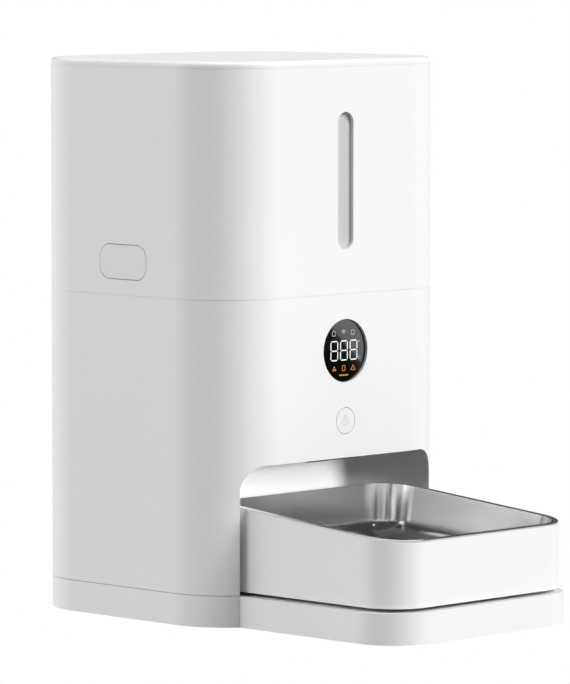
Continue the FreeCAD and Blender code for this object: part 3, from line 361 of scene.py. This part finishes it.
def seam_lip(name, low, high, body, inset):
    """The white lip that stands just behind an open seam, all round the tower."""
    loops = [tower_loop(inset, low), tower_loop(inset, high), tower_loop(LIP_BACK, high),
             tower_loop(LIP_BACK, low)]
    work = bmesh.new()
    rings = [[work.verts.new(point) for point in loop] for loop in loops]
    count = len(rings[0])
    for ring, after in zip(rings, rings[1:] + rings[:1]):
        for i in range(count):
            j = (i + 1) % count
            work.faces.new((ring[i], ring[j], after[j], after[i]))
    add_piece(name, work, MATERIALS["white_shell"], body)


def make_seam_lips():
    """One lip over the lower housing and one under the lid."""
    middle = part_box("lower_housing")[1][2]
    seam_lip("middle_seam_lip", middle + LIP_CLEAR, middle + SEAM - LIP_CLEAR, "base",
             MIDDLE_LIP_INSET)
    under_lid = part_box("lid_shell")[0][2]
    seam_lip("lid_seam_lip", under_lid - SEAM + LIP_CLEAR, under_lid - LIP_CLEAR, "hopper",
             LID_LIP_INSET)


# ---------------------------------------------------------------- stage, light and camera
BLACK, PURE_WHITE = (0, 0, 0, 1), (1, 1, 1, 1)
FLOOR_DROP = 0.2 * MM
HORIZON_TOP, DARK_FROM = 0.08, 0.2
HORIZON_POWER, OVERHEAD_POWER = 0.8, 0.06


def lit_white(tree, felt, mirrored):
    """Pure white to the camera, another brightness as soft light, and a third in reflections."""
    rays = tree.nodes.new("ShaderNodeLightPath")
    direct = tree.nodes.new("ShaderNodeMapRange")
    direct.inputs["To Min"].default_value = 1.0
    direct.inputs["To Max"].default_value = felt
    tree.links.new(rays.outputs["Is Diffuse Ray"], direct.inputs["Value"])
    mixed = tree.nodes.new("ShaderNodeMix")
    tree.links.new(rays.outputs["Is Glossy Ray"], mixed.inputs["Factor"])
    tree.links.new(direct.outputs["Result"], mixed.inputs["A"])
    if isinstance(mirrored, float):
        mixed.inputs["B"].default_value = mirrored
    else:
        tree.links.new(mirrored, mixed.inputs["B"])
    return mixed.outputs["Result"]


def make_floor():
    """A wide white light table that fades into the white surroundings."""
    bpy.ops.mesh.primitive_plane_add(size=60)
    floor = bpy.context.object
    floor.name = "floor"
    floor.location.z = -FLOOR_DROP
    nodes = Nodes("light_table")
    nodes.set(Base_Color=BLACK, Specular_IOR_Level=0, Emission_Color=PURE_WHITE)
    nodes.link(lit_white(nodes.tree, 0.33, 0.7), nodes.shader.inputs["Emission Strength"])
    floor.data.materials.append(nodes.material)


def direction(azimuth, elevation):
    """The way to a place around the object; azimuth 0 is the front and 90 is the right."""
    turn, lift = math.radians(azimuth), math.radians(elevation)
    return Vector((math.sin(turn) * math.cos(lift), -math.cos(turn) * math.cos(lift),
                   math.sin(lift)))


def sun(name, azimuth, elevation, spread, power):
    """A broad, distant soft light."""
    away = direction(azimuth, elevation)
    data = bpy.data.lights.new(name, "SUN")
    data.angle = math.radians(spread)
    data.energy = power
    light = bpy.data.objects.new(name, data)
    light.rotation_euler = away.to_track_quat("Z", "Y").to_euler()
    light.location = away
    light.visible_glossy = False
    bpy.context.collection.objects.link(light)
    return light


def card(name, place, facing, width, height, power, roll=0):
    """A studio card that only shows in reflections: a black flag, or white at any power."""
    bpy.ops.mesh.primitive_plane_add(size=1)
    board = bpy.context.object
    board.name = name
    board.scale = (width, height, 1)
    board.rotation_euler = (facing.to_track_quat("Z", "Y").to_matrix()
                            @ Matrix.Rotation(math.radians(roll), 3, "Z")).to_euler()
    board.location = place
    nodes = Nodes(name)
    nodes.set(Base_Color=BLACK, Specular_IOR_Level=0, Emission_Color=PURE_WHITE,
              Emission_Strength=power)
    board.data.materials.append(nodes.material)
    for kind in ("camera", "diffuse", "transmission", "volume_scatter", "shadow"):
        setattr(board, "visible_" + kind, False)


def make_surroundings():
    """White all round; in reflections it is bright at the horizon and dark overhead."""
    world = bpy.data.worlds.new("studio")
    world.use_nodes = True
    tree = world.node_tree
    background = tree.nodes["Background"]
    background.inputs["Color"].default_value = PURE_WHITE
    coordinates = tree.nodes.new("ShaderNodeTexCoord")
    upward = tree.nodes.new("ShaderNodeSeparateXYZ")
    tree.links.new(coordinates.outputs["Generated"], upward.inputs["Vector"])
    darken = tree.nodes.new("ShaderNodeMapRange")
    darken.inputs["From Min"].default_value = HORIZON_TOP
    darken.inputs["From Max"].default_value = DARK_FROM
    darken.inputs["To Min"].default_value = HORIZON_POWER
    darken.inputs["To Max"].default_value = OVERHEAD_POWER
    tree.links.new(upward.outputs["Z"], darken.inputs["Value"])
    tree.links.new(lit_white(tree, 0.12, darken.outputs["Result"]),
                   background.inputs["Strength"])
    return world


def make_niche_light():
    """A low light that falls only on the alcove's lining."""
    niche = sun("niche", 54, 4, 10, 5.2)
    receivers = bpy.data.collections.new("niche_receivers")
    receivers.objects.link(NODES["alcove_liner"])
    niche.light_linking.receiver_collection = receivers


def make_lens_cards():
    """A black flag keeps the display dark, and a tilted card in front gives it one streak."""
    lens = centre_of("display_lens")
    sight = direction(45.5, -4.7)
    beside = Vector((0.016, 0.016, 0.030))
    card("lens_flag", lens + sight * 0.46, -sight, 0.16, 0.16, power=0)
    card("lens_card", lens + sight * 0.42 + beside, -sight, 0.062, 0.1, power=1.6, roll=-40)


def make_bowl_cards():
    """A flag, a narrow band and a light that draw the soft bands in the steel bowl."""
    rim = Vector((0, 0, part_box("steel_bowl")[1][2]))
    across, toward = direction(45, 0), direction(-45, 3)
    card("bowl_flag", rim + toward * 0.5 + across * 0.076, -toward, 0.12, 0.16, power=0.02)
    card("bowl_band", rim + toward * 0.49 + across * 0.104, -toward, 0.03, 0.16, power=1.1)
    place = rim + direction(34, 12) * 0.33 + direction(-45, 0) * 0.015
    card("bowl_light", place, -direction(45, 15), 0.05, 0.14, power=2.0)


def make_light():
    """Broad suns from the front right, the rear left and above, cards and white surroundings."""
    sun("key", 20, 38, 36, 3.75)
    sun("fill", -138, 27, 40, 2.5)
    sun("top", 0, 85, 90, 0.4)
    make_niche_light()
    make_lens_cards()
    make_bowl_cards()
    bpy.context.scene.world = make_surroundings()


def make_camera():
    """A long lens from the left of the front, a little above the bowl."""
    back = direction(-45.45, 4.77)
    distance = 3.190
    target = Vector((0, 0.020, 0.160))
    data = bpy.data.cameras.new("camera")
    data.lens = 273.8
    data.sensor_width = 36
    data.clip_end = 60
    camera = bpy.data.objects.new("camera", data)
    turn = (-back).to_track_quat("-Z", "Y")
    aim = turn @ Vector((-0.0015, 0.0058, 0))
    camera.location = target + back * distance + aim
    camera.rotation_euler = turn.to_euler()
    bpy.context.collection.objects.link(camera)
    bpy.context.scene.camera = camera
    bpy.context.scene.view_settings.view_transform = "Standard"


make_camera()
make_light()
make_floor()
dress_frame()
make_display_marks()
make_button_mark()
make_seam_lips()
